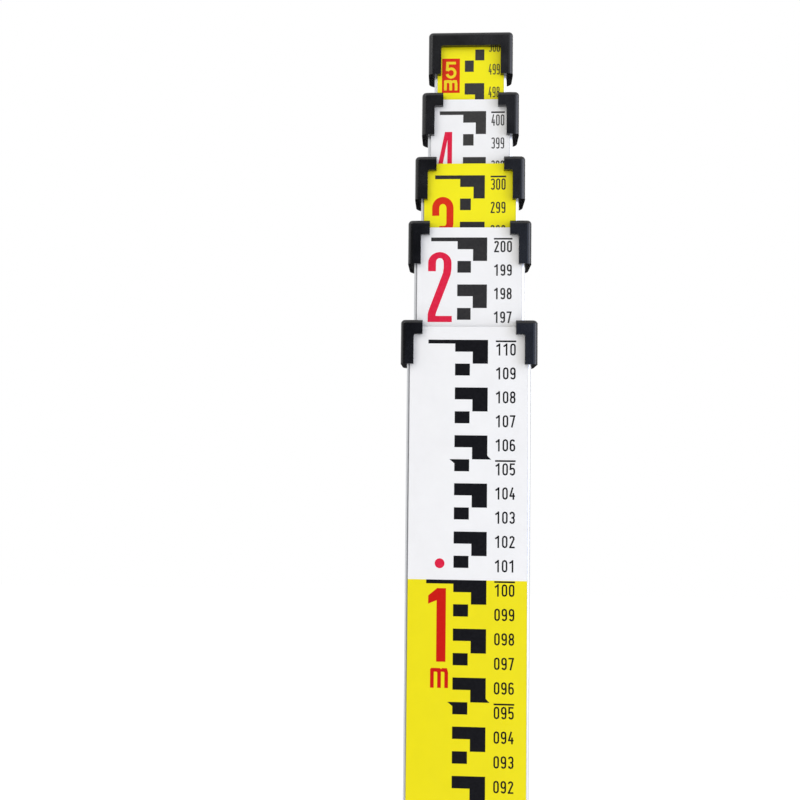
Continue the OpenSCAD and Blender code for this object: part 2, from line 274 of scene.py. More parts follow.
def printed_film(name, below, above, change):
    """Glossy printed film, one colour below the height change and another above it."""
    made, tree, shader = new_material(name)
    where = add_node(tree, "ShaderNodeTexCoord")
    split = add_node(tree, "ShaderNodeSeparateXYZ", {0: where.outputs["Object"]})
    upper = add_node(tree, "ShaderNodeMath", {0: split.outputs["Z"], 1: change},
                     operation="GREATER_THAN")
    flat_ink = add_node(tree, "ShaderNodeMix", {"Factor": upper.outputs[0],
                        colour_a: linear(below), colour_b: linear(above)}, data_type="RGBA")
    # ink laid by a screen is a little uneven over a few millimetres
    laid = add_node(tree, "ShaderNodeTexNoise", {"Vector": where.outputs["Object"],
                    "Scale": 1 / uneven_size, "Detail": 4.0, "Roughness": 0.6})
    shade = add_node(tree, "ShaderNodeMapRange", {"Value": laid.outputs["Fac"],
                     "From Min": 0.3, "From Max": 0.7, "To Min": 0.97, "To Max": 1.0})
    even = add_node(tree, "ShaderNodeMix", {"Factor": 1.0,
                    colour_a: flat_ink.outputs[colour_out], colour_b: shade.outputs[0]},
                    data_type="RGBA", blend_type="MULTIPLY")
    tree.links.new(even.outputs[colour_out], shader.inputs["Base Color"])
    # faint rub marks along the staff, where the next collar has slid over the film
    rub_map = add_node(tree, "ShaderNodeMapping", {"Vector": where.outputs["Object"],
                       "Scale": (1 / rub_width, 1.0, 1 / rub_length)})
    rub = add_node(tree, "ShaderNodeTexNoise", {"Vector": rub_map.outputs[0], "Scale": 1.0,
                   "Detail": 2.0})
    gloss = add_node(tree, "ShaderNodeMapRange", {"Value": rub.outputs["Fac"],
                     "From Min": 0.35, "From Max": 0.75, "To Min": 0.29, "To Max": 0.34})
    tree.links.new(gloss.outputs[0], shader.inputs["Roughness"])
    relief = add_node(tree, "ShaderNodeBump", {"Height": laid.outputs["Fac"],
                      "Strength": 0.1, "Distance": 0.04 * MM})
    tree.links.new(relief.outputs[0], shader.inputs["Normal"])
    shader.inputs["IOR"].default_value = 1.48
    shader.inputs["Specular IOR Level"].default_value = 0.28
    return made


film = {
    1: printed_film("film printed yellow then white", film_yellow, film_white, metre * MM),
    2: printed_film("film printed white", film_white, film_white, 0.0),
    3: printed_film("film printed bright yellow", film_bright_yellow, film_bright_yellow, 0.0),
}
film[4], film[5] = film[2], film[3]
for k in sections:
    dress(f"front_scale_{k}", film[k])
    dress(f"back_scale_{k}", film[k])


# Front graduation: front_blocks_1 to _5, the centimetre steps, decimetre lines and number
# bars, screen printed in black on the front film. Each mark is a thin skin of ink.
# How far from the staff's middle each face lies, and what it reads at the height 0, in mm:
face_depth = {1: 13.45, 2: 11.45, 3: 9.45, 4: 7.45, 5: 5.45}
reading_at_zero = {1: 0.0, 2: 856.3, 3: 1829.1, 4: 2800.6, 5: 3767.6}
ink_lift = 0.02 * MM
ink_root = 0.01 * MM
# shapes of one print that overlap lie at slightly different heights
overlap_step, overlap_levels = 0.006 * MM, 4
pinhole_size = 1.1 * MM
# a printed face looks to -y in front and to +y behind, where its right is the staff's -x
front, back = 1, -1
body_of = {1: "outer", 2: "slider_2", 3: "slider_3", 4: "slider_4", 5: "slider_5"}


def screen_ink(name, colour, worn):
    """Screen ink, one even dark or strong tone: matt beside the film, with paler pinholes."""
    made, tree, shader = new_material(name)
    where = add_node(tree, "ShaderNodeTexCoord")
    laid = add_node(tree, "ShaderNodeTexNoise", {"Vector": where.outputs["Object"],
                    "Scale": 1 / pinhole_size, "Detail": 3.0, "Roughness": 0.7})
    thin = add_node(tree, "ShaderNodeMapRange", {"Value": laid.outputs["Fac"],
                    "From Min": 0.35, "From Max": 0.8})
    tint = add_node(tree, "ShaderNodeMix", {"Factor": thin.outputs[0],
                    colour_a: linear(colour), colour_b: linear(worn)}, data_type="RGBA")
    tree.links.new(tint.outputs[colour_out], shader.inputs["Base Color"])
    matt = add_node(tree, "ShaderNodeMapRange", {"Value": laid.outputs["Fac"],
                    "To Min": 0.38, "To Max": 0.5})
    tree.links.new(matt.outputs[0], shader.inputs["Roughness"])
    shader.inputs["Specular IOR Level"].default_value = 0.12
    shader.inputs["IOR"].default_value = 1.5
    return made


# on the inner sections the black is laid thinner and looks dark grey
full_black = screen_ink("black screen ink", "#0D0C0F", "#19181B")
thin_black = screen_ink("thin black screen ink", "#2C2B2C", "#383635")
sheer_black = screen_ink("sheer black screen ink", "#383736", "#444240")
black_on = {1: full_black, 2: thin_black, 3: thin_black, 4: sheer_black, 5: sheer_black}


def print_skin(name, shapes, k, side, ink, lift=ink_lift):
    """Closed skins of ink on one face of section k. Each shape is a list of points and a list
    of faces in millimetres: to the right and up as seen by whoever looks at that face."""
    form = bmesh.new()
    depth = face_depth[k] * MM
    for layer, (points, faces) in enumerate(shapes):
        corners = [
            form.verts.new((side * u * MM, -side * (depth - ink_root), v * MM))
            for u, v in points
        ]
        flat = [form.faces.new([corners[i] for i in face]) for face in faces]
        grown = bmesh.ops.extrude_face_region(form, geom=flat)["geom"]
        top = [v for v in grown if isinstance(v, bmesh.types.BMVert)]
        height = ink_root + lift + layer % overlap_levels * overlap_step
        bmesh.ops.translate(form, verts=top, vec=(0, -side * height, 0))
    bmesh.ops.recalc_face_normals(form, faces=form.faces)
    mesh = bpy.data.meshes.new(name)
    form.to_mesh(mesh)
    form.free()
    mesh.materials.append(ink)
    return mesh


def patch(left, right, low, high):
    """A rectangle of ink, from left to right and from low to high."""
    return [(left, low), (right, low), (right, high), (left, high)], [(0, 1, 2, 3)]


def outline(*points):
    """A closed outline of ink with straight edges."""
    return list(points), [tuple(range(len(points)))]


# One tree repeats a mark up the staff: the mark is the modified object's own mesh.
marks_tree = bpy.data.node_groups.new("marks up the staff", "GeometryNodeTree")
for socket_name, in_out, socket_type in (
        ("Mark", "INPUT", "NodeSocketGeometry"), ("Count", "INPUT", "NodeSocketInt"),
        ("Pitch", "INPUT", "NodeSocketFloat"), ("First height", "INPUT", "NodeSocketFloat"),
        ("Ink", "INPUT", "NodeSocketMaterial"), ("Marks", "OUTPUT", "NodeSocketGeometry")):
    marks_tree.interface.new_socket(socket_name, in_out=in_out, socket_type=socket_type)
given = add_node(marks_tree, "NodeGroupInput").outputs
start = add_node(marks_tree, "ShaderNodeCombineXYZ", {"Z": given["First height"]})
step = add_node(marks_tree, "ShaderNodeCombineXYZ", {"Z": given["Pitch"]})
row = add_node(marks_tree, "GeometryNodeMeshLine", {"Count": given["Count"],
               "Start Location": start.outputs[0], "Offset": step.outputs[0]}, mode="OFFSET")
set_out = add_node(marks_tree, "GeometryNodeInstanceOnPoints",
                   {"Points": row.outputs[0], "Instance": given["Mark"]})
solid = add_node(marks_tree, "GeometryNodeRealizeInstances", {0: set_out.outputs[0]})
inked = add_node(marks_tree, "GeometryNodeSetMaterial",
                 {"Geometry": solid.outputs[0], "Material": given["Ink"]})
add_node(marks_tree, "NodeGroupOutput", {0: inked.outputs[0]})


def grown_mesh(mesh, tree, values):
    """Runs a tree on a mesh with the named input values and gives the plain mesh it makes."""
    holder = bpy.data.objects.new("holder", mesh)
    bpy.context.scene.collection.objects.link(holder)
    modifier = holder.modifiers.new("grow", "NODES")
    modifier.node_group = tree
    for item in tree.interface.items_tree:
        if item.in_out == "INPUT" and item.name in values:
            modifier[item.identifier] = values[item.name]
    seen_now = holder.evaluated_get(bpy.context.evaluated_depsgraph_get())
    made = bpy.data.meshes.new_from_object(seen_now)
    bpy.data.objects.remove(holder)
    return made


def repeated(shapes, k, side, ink, first, pitch, count, lift=ink_lift):
    """Shapes drawn round height 0 on face k, repeated from the reading first, in mm."""
    mark = print_skin("mark", shapes, k, side, ink, lift)
    return grown_mesh(mark, marks_tree, {
        "Count": count, "Pitch": pitch * MM,
        "First height": (first - reading_at_zero[k]) * MM, "Ink": ink})


def once(shapes, k, side, ink, reading, lift=ink_lift):
    """Shapes drawn round height 0 on face k, printed once at a reading in mm."""
    return repeated(shapes, k, side, ink, reading, 1, 1, lift)


def joined_piece(name, meshes, ink, body):
    """Joins meshes into one piece that rides on a body."""
    form = bmesh.new()
    for mesh in meshes:
        form.from_mesh(mesh)
    mesh = bpy.data.meshes.new(name)
    form.to_mesh(mesh)
    form.free()
    mesh.materials.clear()
    mesh.materials.append(ink)
    for face in mesh.polygons:
        face.material_index = 0
    piece = bpy.data.objects.new(name, mesh)
    bpy.context.scene.collection.objects.link(piece)
    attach(piece, body)


# first and last centimetre that the front of each section carries
front_from = {1: 4, 2: 111, 3: 201, 4: 301, 5: 401}
front_to = {1: 110, 2: 200, 3: 300, 4: 400, 5: 499}
# left and right edge of a step, width of its small square and of its lower part, and where
# the decimetre line begins, all from the middle of the staff
step_plan = {
    1: (-5.75, 7.95, 6.2, 6.35, -17.0), 2: (-5.1, 7.4, 5.7, 5.95, -16.3),
    3: (-4.2, 6.3, 4.6, 4.8, -14.9), 4: (-3.1, 6.7, 4.5, 4.4, -13.2),
    5: (-2.55, 5.85, 3.85, 3.95, -11.6),
}
# left and right end of the centimetre numbers
number_span = {1: (11.3, 19.5), 2: (10.3, 17.8), 3: (8.8, 15.1), 4: (9.0, 14.5), 5: (7.7, 12.5)}
cm, half_cm, decimetre = 10, 5, 100
line_height = 1.6
bar_top, bar_height, bar_over_left, bar_over_right = -0.2, 0.7, 0.1, 0.2
# wedges point at every fifth centimetre between the decimetre lines
left_wedge_out, left_wedge_down, right_wedge_out = 2.1, 1.7, 1.6
half_step_top = 5.2  # at 5.00 m only the lower half of a step is printed, this far down
for k in sections:
    left, right, square, lower, line_left = step_plan[k]
    low_cm, high_cm = front_from[k], front_to[k]
    even = low_cm + low_cm % 2
    odd = low_cm + 1 - low_cm % 2
    ten = math.ceil(low_cm / 10) * 10
    five = math.ceil(low_cm / 5) * 5
    odd_five = five if five % 10 else five + 5
    whole_step = outline((left, 0), (left, -half_cm), (right - lower, -half_cm),
                         (right - lower, -cm), (right, -cm), (right, 0))
    left_wedge = outline((left, 0), (left - left_wedge_out, 0), (left, -left_wedge_down))
    right_wedge = outline((right, -cm), (right + right_wedge_out, -cm),
                          (right, right_wedge_out - cm))
    bar = patch(number_span[k][0] - bar_over_left, number_span[k][1] + bar_over_right,
                bar_top - bar_height, bar_top)
    black_ink = black_on[k]
    parts = [
        repeated([whole_step], k, front, black_ink, even * cm, 2 * cm,
                 (high_cm - even) // 2 + 1),
        repeated([patch(left, left + square, -half_cm, 0)], k, front, black_ink, odd * cm,
                 2 * cm, (high_cm - odd) // 2 + 1),
        repeated([patch(line_left, left, -line_height, 0)], k, front, black_ink, ten * cm,
                 decimetre, (high_cm - ten) // 10 + 1),
        repeated([bar], k, front, black_ink, five * cm, 5 * cm, (high_cm - five) // 5 + 1),
        repeated([left_wedge], k, front, black_ink, odd_five * cm, decimetre,
                 (high_cm - odd_five) // 10 + 1),
        repeated([right_wedge], k, front, black_ink, (odd_five + 1) * cm, decimetre,
                 (high_cm - odd_five - 1) // 10 + 1),
    ]
    if k == 5:
        half_step = patch(right - lower, right, -cm, -half_step_top)
        parts.append(once([half_step], k, front, black_ink, 5 * metre))
    joined_piece(f"front_blocks_{k}", parts, black_ink, body_of[k])


# Front numbers: front_numbers_1 to _5, one three-figure number to each centimetre, in a
# narrow technical lettering of one stroke width, printed in the same black ink.
def arc(middle_u, middle_v, radius_u, radius_v, first, last, pieces):
    """Points along an arc, angles in degrees."""
    turns = [math.radians(first + (last - first) * i / pieces) for i in range(pieces + 1)]
    return [(middle_u + radius_u * math.cos(t), middle_v + radius_v * math.sin(t))
            for t in turns]


def stroke(points, width, closed=False):
    """A line of ink along points, mitred at its bends. width is one number or one per point."""
    shortest, least_lean = 1e-9, 0.45  # no direction below the first, no longer mitre
    count = len(points)
    widths = width if isinstance(width, list) else [width] * count
    rim = []
    for i, (u, v) in enumerate(points):
        before = points[i - 1] if closed or i else points[i]
        after = points[(i + 1) % count] if closed or i < count - 1 else points[i]
        tangents = []
        for a, b in ((before, points[i]), (points[i], after)):
            length = math.hypot(b[0] - a[0], b[1] - a[1])
            if length > shortest:
                tangents.append(((b[0] - a[0]) / length, (b[1] - a[1]) / length))
        tu = sum(t[0] for t in tangents)
        tv = sum(t[1] for t in tangents)
        size = math.hypot(tu, tv)
        nu, nv = -tv / size, tu / size
        lean = abs(nu * -tangents[0][1] + nv * tangents[0][0])
        reach = widths[i] / 2 / max(lean, least_lean)
        rim += [(u + nu * reach, v + nv * reach), (u - nu * reach, v - nv * reach)]
    ends = count if closed else count - 1
    faces = []
    for i in range(ends):
        a, b = 2 * i, 2 * ((i + 1) % count)
        faces.append((a, a + 1, b + 1, b))
    return rim, faces


def figure(digit, width, height, weight, fine=2):
    """The strokes of one digit in a box of the given outer size, its foot at height 0."""
    w, h = width - weight, height - weight
    r = w / 2
    flat = weight / 2
    quarter, half_turn = fine, 2 * fine
    if digit == 0:
        drawn = [(arc(r, h - r, r, r, 0, 180, half_turn) + arc(r, r, r, r, 180, 360, half_turn),
                  True)]
    elif digit == 1:
        stem = 0.68 * w
        drawn = [([(stem, -flat), (stem, h + flat)], False),
                 ([(stem - 0.78 * w, h - 0.62 * w), (stem, h - 0.05 * w)], False)]
    elif digit == 2:
        drawn = [(arc(r, h - r, r, r, 180, -20, half_turn) + [(0.02 * w, 0)], False),
                 ([(-flat, 0), (w + flat, 0)], False)]
    elif digit == 3:
        drawn = [(arc(r, h - r, r, r, 180, 0, half_turn)
                  + arc(r * 1.1, h / 2 + r * 0.9, r * 0.9, r * 0.9, 0, -90, quarter)
                  + [(0.35 * w, h / 2)], False),
                 ([(0.35 * w, h / 2)]
                  + arc(r * 1.1, h / 2 - r * 0.9, r * 0.9, r * 0.9, 90, 0, quarter)
                  + arc(r, r, r, r, 0, -180, half_turn), False)]
    elif digit == 4:
        drawn = [([(0.62 * w, h + flat), (0, 0.27 * h)], False),
                 ([(-flat, 0.27 * h), (w + flat, 0.27 * h)], False),
                 ([(0.8 * w, -flat), (0.8 * w, 0.55 * h)], False)]
    elif digit == 5:
        drawn = [([(0.06 * w, h - flat), (0.0, 0.45 * h)], False),
                 ([(0.06 * w - flat, h), (w + flat * 0.6, h)], False),
                 (arc(r, 0.6 * h - r, r, r, 150, 0, half_turn)
                  + arc(r, r, r, r, 0, -170, half_turn), False)]
    elif digit == 7:
        drawn = [([(-flat, h), (w + flat, h)], False),
                 ([(w * 0.96, h), (0.28 * w, -flat)], False)]
    elif digit == 8:
        drawn = [(arc(r, h - r, r * 0.94, r, 0, 180, half_turn)
                  + arc(r, h * 0.52 + r, r * 0.94, r, 180, 360, half_turn), True),
                 (arc(r, h * 0.52 - r, r, r, 0, 180, half_turn)
                  + arc(r, r, r, r, 180, 360, half_turn), True)]
    else:
        drawn = [(arc(r, 0.58 * h - r, r, r, 0, 180, half_turn)
                  + arc(r, r, r, r, 180, 360, half_turn), True),
                 ([(0, 0.4 * h)] + arc(r, h - r, r, r, 180, 15, half_turn), False)]
        if digit == 9:
            drawn = [([(w - u, h - v) for u, v in line], closed) for line, closed in drawn]
    return [stroke([(u + flat, v + flat) for u, v in line], weight, closed)
            for line, closed in drawn]


# One tree prints one place of the numbers: it takes a set of ten figures, counts up the
# staff and picks each point's figure from the reading there.
nudge = 0.01  # keeps a whole reading from being rounded down
numbers_tree = bpy.data.node_groups.new("figures up the staff", "GeometryNodeTree")
for socket_name, in_out, socket_type in (
        ("Mark", "INPUT", "NodeSocketGeometry"), ("Figures", "INPUT", "NodeSocketCollection"),
        ("Count", "INPUT", "NodeSocketInt"), ("Pitch", "INPUT", "NodeSocketFloat"),
        ("First height", "INPUT", "NodeSocketFloat"), ("Column", "INPUT", "NodeSocketFloat"),
        ("First reading", "INPUT", "NodeSocketInt"), ("Reading step", "INPUT", "NodeSocketInt"),
        ("Place value", "INPUT", "NodeSocketInt"), ("Ink", "INPUT", "NodeSocketMaterial"),
        ("Figures out", "OUTPUT", "NodeSocketGeometry")):
    numbers_tree.interface.new_socket(socket_name, in_out=in_out, socket_type=socket_type)
given = add_node(numbers_tree, "NodeGroupInput").outputs
start = add_node(numbers_tree, "ShaderNodeCombineXYZ", {"X": given["Column"],
                 "Z": given["First height"]})
step = add_node(numbers_tree, "ShaderNodeCombineXYZ", {"Z": given["Pitch"]})
row = add_node(numbers_tree, "GeometryNodeMeshLine", {"Count": given["Count"],
               "Start Location": start.outputs[0], "Offset": step.outputs[0]}, mode="OFFSET")
index = add_node(numbers_tree, "GeometryNodeInputIndex")
climbed = add_node(numbers_tree, "ShaderNodeMath", {0: index.outputs[0],
                   1: given["Reading step"]}, operation="MULTIPLY")
reading = add_node(numbers_tree, "ShaderNodeMath", {0: climbed.outputs[0],
                   1: given["First reading"]}, operation="ADD")
shifted = add_node(numbers_tree, "ShaderNodeMath", {0: reading.outputs[0], 1: nudge},
                   operation="ADD")
placed = add_node(numbers_tree, "ShaderNodeMath", {0: shifted.outputs[0],
                  1: given["Place value"]}, operation="DIVIDE")
whole = add_node(numbers_tree, "ShaderNodeMath", {0: placed.outputs[0]}, operation="FLOOR")
last_figure = add_node(numbers_tree, "ShaderNodeMath", {0: whole.outputs[0], 1: 10.0},
                       operation="MODULO")
chosen = add_node(numbers_tree, "FunctionNodeFloatToInt", {0: last_figure.outputs[0]},
                  rounding_mode="ROUND")
ten_figures = add_node(numbers_tree, "GeometryNodeCollectionInfo", {
    "Collection": given["Figures"], "Separate Children": True, "Reset Children": True})
set_out = add_node(numbers_tree, "GeometryNodeInstanceOnPoints", {
    "Points": row.outputs[0], "Instance": ten_figures.outputs[0], "Pick Instance": True,
    "Instance Index": chosen.outputs[0]})
solid = add_node(numbers_tree, "GeometryNodeRealizeInstances", {0: set_out.outputs[0]})
inked = add_node(numbers_tree, "GeometryNodeSetMaterial",
                 {"Geometry": solid.outputs[0], "Material": given["Ink"]})
add_node(numbers_tree, "NodeGroupOutput", {0: inked.outputs[0]})


def figure_set(k, side, width, height, weight, ink):
    """Ten figures on one face of section k, in a collection of their own."""
    made = bpy.data.collections.new("figures")
    bpy.context.scene.collection.children.link(made)
    for digit in range(10):
        mesh = print_skin(f"figure_{digit}", figure(digit, width, height, weight), k, side, ink)
        made.objects.link(bpy.data.objects.new(f"figure_{digit}", mesh))
    return made


def printed_numbers(figures, k, side, ink, columns, first, count, pitch_cm, raise_mm):
    """One mesh for each place of the numbers. columns maps a place value to the left edge of
    its figure; raise_mm is how far the figures' foot lies above the mark."""
    empty = bpy.data.meshes.new("no mark")
    return [grown_mesh(empty, numbers_tree, {
        "Figures": figures, "Count": count, "Pitch": pitch_cm * cm * MM,
        "First height": (first * cm + raise_mm - reading_at_zero[k]) * MM,
        "Column": side * left * MM, "First reading": first, "Reading step": pitch_cm,
        "Place value": place_value, "Ink": ink}) for place_value, left in columns.items()]


def put_away(figures):
    """Removes a set of figures once its numbers are plain meshes."""
    for thing in list(figures.objects):
        bpy.data.objects.remove(thing)
    bpy.data.collections.remove(figures)


# foot of the numbers below their mark, and their height
number_foot = {1: 6.55, 2: 6.3, 3: 6.3, 4: 6.4, 5: 6.3}
number_height = {1: 5.1, 2: 4.9, 3: 4.9, 4: 4.9, 5: 4.7}
last_reading = {1: 110, 2: 200, 3: 300, 4: 400, 5: 500}
spacings_across = 2.77  # two spacings and one figure's width
heaviest, weight_share = 0.66, 0.32
for k in sections:
    left, right = number_span[k]
    spacing = (right - left) / spacings_across
    width = right - left - 2 * spacing
    weight = min(heaviest, width * weight_share)
    black_ink = black_on[k]
    figures = figure_set(k, front, width, number_height[k], weight, black_ink)
    columns = {100: left, 10: left + spacing, 1: left + 2 * spacing}
    parts = printed_numbers(figures, k, front, black_ink, columns, front_from[k],
                            last_reading[k] - front_from[k] + 1, 1, -number_foot[k])
    put_away(figures)
    joined_piece(f"front_numbers_{k}", parts, black_ink, body_of[k])


# Back graduation: back_blocks_1 to _5 and back_ticks_1 to _5, screen printed in black on the
# back film: centimetre blocks at the left, and at the right millimetre ticks on a line. Across,
# all is measured from the pattern's left edge.
pattern_left = -13.9
spine, block_right = 1.95, 11.95
# first and last millimetre that the back of each section carries
back_from = {1: 30, 2: 1110, 3: 2010, 4: 3010, 5: 4010}
back_to = {1: 1089.4, 2: 1988.2, 3: 2989.0, 4: 3989.0, 5: 4983.0}
tick_right, tick_left_mm, tick_left_5, tick_left_cm = 26.3, 22.8, 21.2, 19.3
tick_weight_mm, tick_weight, edge_line = 0.46, 0.6, 0.95
top_gap = 0.5  # the topmost tick stays this far from the print's end


def back_shape(*points):
    """An outline on the back, measured from the pattern's left edge."""
    return outline(*[(pattern_left + u, v) for u, v in points])


def back_patch(left, right, low, high):
    """A rectangle on the back, measured from the pattern's left edge."""
    return patch(pattern_left + left, pattern_left + right, low, high)


# a comb of five centimetres: a spine with three teeth, one centimetre high and one apart
comb = back_shape((0, 0), (0, -50), (block_right, -50), (block_right, -40), (spine, -40),
                  (spine, -30), (block_right, -30), (block_right, -20), (spine, -20),
                  (spine, -10), (block_right, -10), (block_right, 0))
for k in sections:
    black_ink = black_on[k]
    low_mm, high_mm = back_from[k], back_to[k]
    first_ten = math.ceil((low_mm + cm) / decimetre) * decimetre
    last_ten = math.floor(high_mm / decimetre) * decimetre
    top_ten = last_ten + decimetre
    over = high_mm - top_ten
    whole_combs = (last_ten - first_ten) // decimetre + 1
    cut_comb = back_shape((0, over), (0, -50), (block_right, -50), (block_right, -40),
                          (spine, -40), (spine, -30), (block_right, -30), (block_right, -20),
                          (spine, -20), (spine, over))
    low_block = back_patch(spine, block_right, -90, -80)
    lowest_ten = first_ten if first_ten - 90 >= low_mm else first_ten + decimetre
    parts = [
        repeated([comb], k, back, black_ink, first_ten, decimetre, whole_combs),
        once([cut_comb], k, back, black_ink, top_ten),
        repeated([back_patch(spine, block_right, -70, -60)], k, back, black_ink, first_ten,
                 decimetre, whole_combs + 1),
        repeated([low_block], k, back, black_ink, lowest_ten, decimetre,
                 (top_ten - lowest_ten) // decimetre + 1),
    ]
    joined_piece(f"back_blocks_{k}", parts, black_ink, body_of[k])
    first_cm = math.ceil(low_mm / cm)
    last_cm = math.floor((high_mm - 1) / cm)
    first_5 = math.ceil(low_mm / 5) * 5
    half_fine, half_tick = tick_weight_mm / 2, tick_weight / 2
    parts = [
        repeated([back_patch(tick_left_mm, tick_right, -half_fine, half_fine)], k, back,
                 black_ink, low_mm, 1, int(high_mm - top_gap) - low_mm + 1),
        repeated([back_patch(tick_left_5, tick_left_mm, -half_tick, half_tick)], k, back,
                 black_ink, first_5, 5, int((high_mm - top_gap - first_5) // 5) + 1),
        repeated([back_patch(tick_left_cm, tick_left_5, -half_tick, half_tick)], k, back,
                 black_ink, first_cm * cm, cm, last_cm - first_cm + 1),
        once([back_patch(tick_right, tick_right + edge_line, 0, high_mm - low_mm)], k, back,
             black_ink, low_mm),
    ]
    joined_piece(f"back_ticks_{k}", parts, black_ink, body_of[k])


# Back figures: back_numbers_1 to _5, the last figure beside each centimetre tick and the
# whole number, taller and narrower, beside every fifth, printed in the same black ink.
units_end, units_width, units_height = 18.3, 1.85, 4.4
fives_width, fives_spacing, fives_height = 1.5, 1.85, 5.5
figure_weight = 0.52
above_end = 3  # the lowest figure's middle lies at least this far above the print's end
for k in sections:
    black_ink = black_on[k]
    first_cm = math.ceil((back_from[k] + above_end) / cm)
    last_cm = math.floor((back_to[k] - fives_height / 2) / cm)
    first_five = math.ceil(first_cm / 5) * 5
    end = pattern_left + units_end
    figures = figure_set(k, back, units_width, units_height, figure_weight, black_ink)
    parts = []
    for between in (1, 2, 3, 4):
        first = first_cm + (between - first_cm) % 5
        parts += printed_numbers(figures, k, back, black_ink, {1: end - units_width}, first,
                                 (last_cm - first) // 5 + 1, 5, -units_height / 2)
    put_away(figures)
    figures = figure_set(k, back, fives_width, fives_height, figure_weight, black_ink)
    columns = {place_value: end - fives_width - i * fives_spacing
               for i, place_value in enumerate((1, 10, 100))}
    parts += printed_numbers(figures, k, back, black_ink, columns, first_five,
                             (last_cm - first_five) // 5 + 1, 5, -fives_height / 2)
    put_away(figures)
    joined_piece(f"back_numbers_{k}", parts, black_ink, body_of[k])


# Red metre marks: front_metres_1 to _5, the tall metre numerals with their m, and the dots
# over each decimetre line that count the metres, screen printed in red on the front film.
# Red ink lets a little of the film show, so it looks cooler on white than on yellow.
red_on_yellow = screen_ink("red screen ink on yellow", "#CA0D00", "#D01606")
red_on_bright = screen_ink("red screen ink on bright yellow", "#D92A0C", "#DF3616")
red_on_white = screen_ink("red screen ink on white", "#DD163C", "#E22C4E")
yellow_over_red = screen_ink("yellow screen ink", "#F0D41C", "#F1DC38")


def disc(middle_u, middle_v, radius, pieces=20):
    """A round dot of ink."""
    return outline(*arc(middle_u, middle_v, radius, radius, 0, 360 * (1 - 1 / pieces),
                        pieces - 1))


def moved(shapes, right, up):
    """The same shapes, moved to the right and up."""
    return [([(u + right, v + up) for u, v in points], faces) for points, faces in shapes]


def letter_m(width, height, weight):
    """The small m of metres: three stems under a bar with rounded shoulders, like a comb."""
    middle = (width - weight) / 2
    cut = 0.3 * weight
    comb_of_m = [(0, 0), (0, height - cut), (cut, height), (middle + weight - cut, height),
                 (middle + weight, height - cut), (middle + weight + cut, height),
                 (width - cut, height), (width, height - 1.2 * weight), (width, 0),
                 (width - weight, 0), (width - weight, height - 1.2 * weight),
                 (width - weight - cut, height - weight), (middle + weight, height - weight),
                 (middle + weight, 0), (middle, 0), (middle, height - 1.2 * weight),
                 (middle - cut, height - weight), (weight, height - weight), (weight, 0)]
    return [outline(*comb_of_m)]


def tall_numeral(digit):
    """A metre numeral in its heavy tall lettering, its foot at height 0 and its left at 0."""
    if digit == 1:
        return [outline((3.5, 0), (7.35, 0), (7.35, 30.2), (3.7, 30.2), (0, 27.1), (0, 23.7),
                        (3.5, 25.2))]
    if digit == 2:
        line = [(1.65, 21.6)] + arc(4.95, 25.15, 3.3, 3.35, 180, 0, 12) + [
            (8.25, 22.8), (7.95, 20.6), (1.95, 4.4), (1.65, 3.0), (1.65, 0)]
        widths = [3.3] * 3 + [3.1, 2.9, 2.7, 2.6, 2.6, 2.6, 2.7, 2.9, 3.1] + [3.3] * 7
        return [stroke(line, widths), patch(0, 10.2, 0, 2.6)]
    if digit == 3:
        upper = [(1.6, 22.3)] + arc(4.6, 25.6, 3.05, 3.3, 180, 0, 12) + [
            (7.65, 19.0)] + arc(5.4, 19.0, 2.25, 2.6, 0, -90, 4)[1:] + [(3.2, 16.4)]
        lower = [(3.2, 16.4)] + arc(5.4, 13.8, 2.25, 2.6, 90, 0, 4) + arc(
            4.6, 4.4, 3.05, 3.1, 0, -180, 12) + [(1.6, 7.7)]
        return [stroke(upper, 3.0), stroke(lower, 3.0)]
    return [outline((0, 8.0), (4.4, 30.0), (7.5, 30.0), (7.5, 0), (5.5, 0), (5.5, 26.6),
                    (2.1, 8.0)),
            patch(0, 8.8, 6.0, 8.1)]


# left edge of the metre numeral, its foot below its mark, and left edge and foot of its m
numeral_plan = {1: (-16.1, 33.7, -15.0, 44.4), 2: (-17.5, 36.0, -16.4, 46.7),
                3: (-16.1, 39.7, -15.0, 50.4), 4: (-15.3, 39.0, -14.2, 49.7)}
m_size = (7.4, 8.1, 1.5)
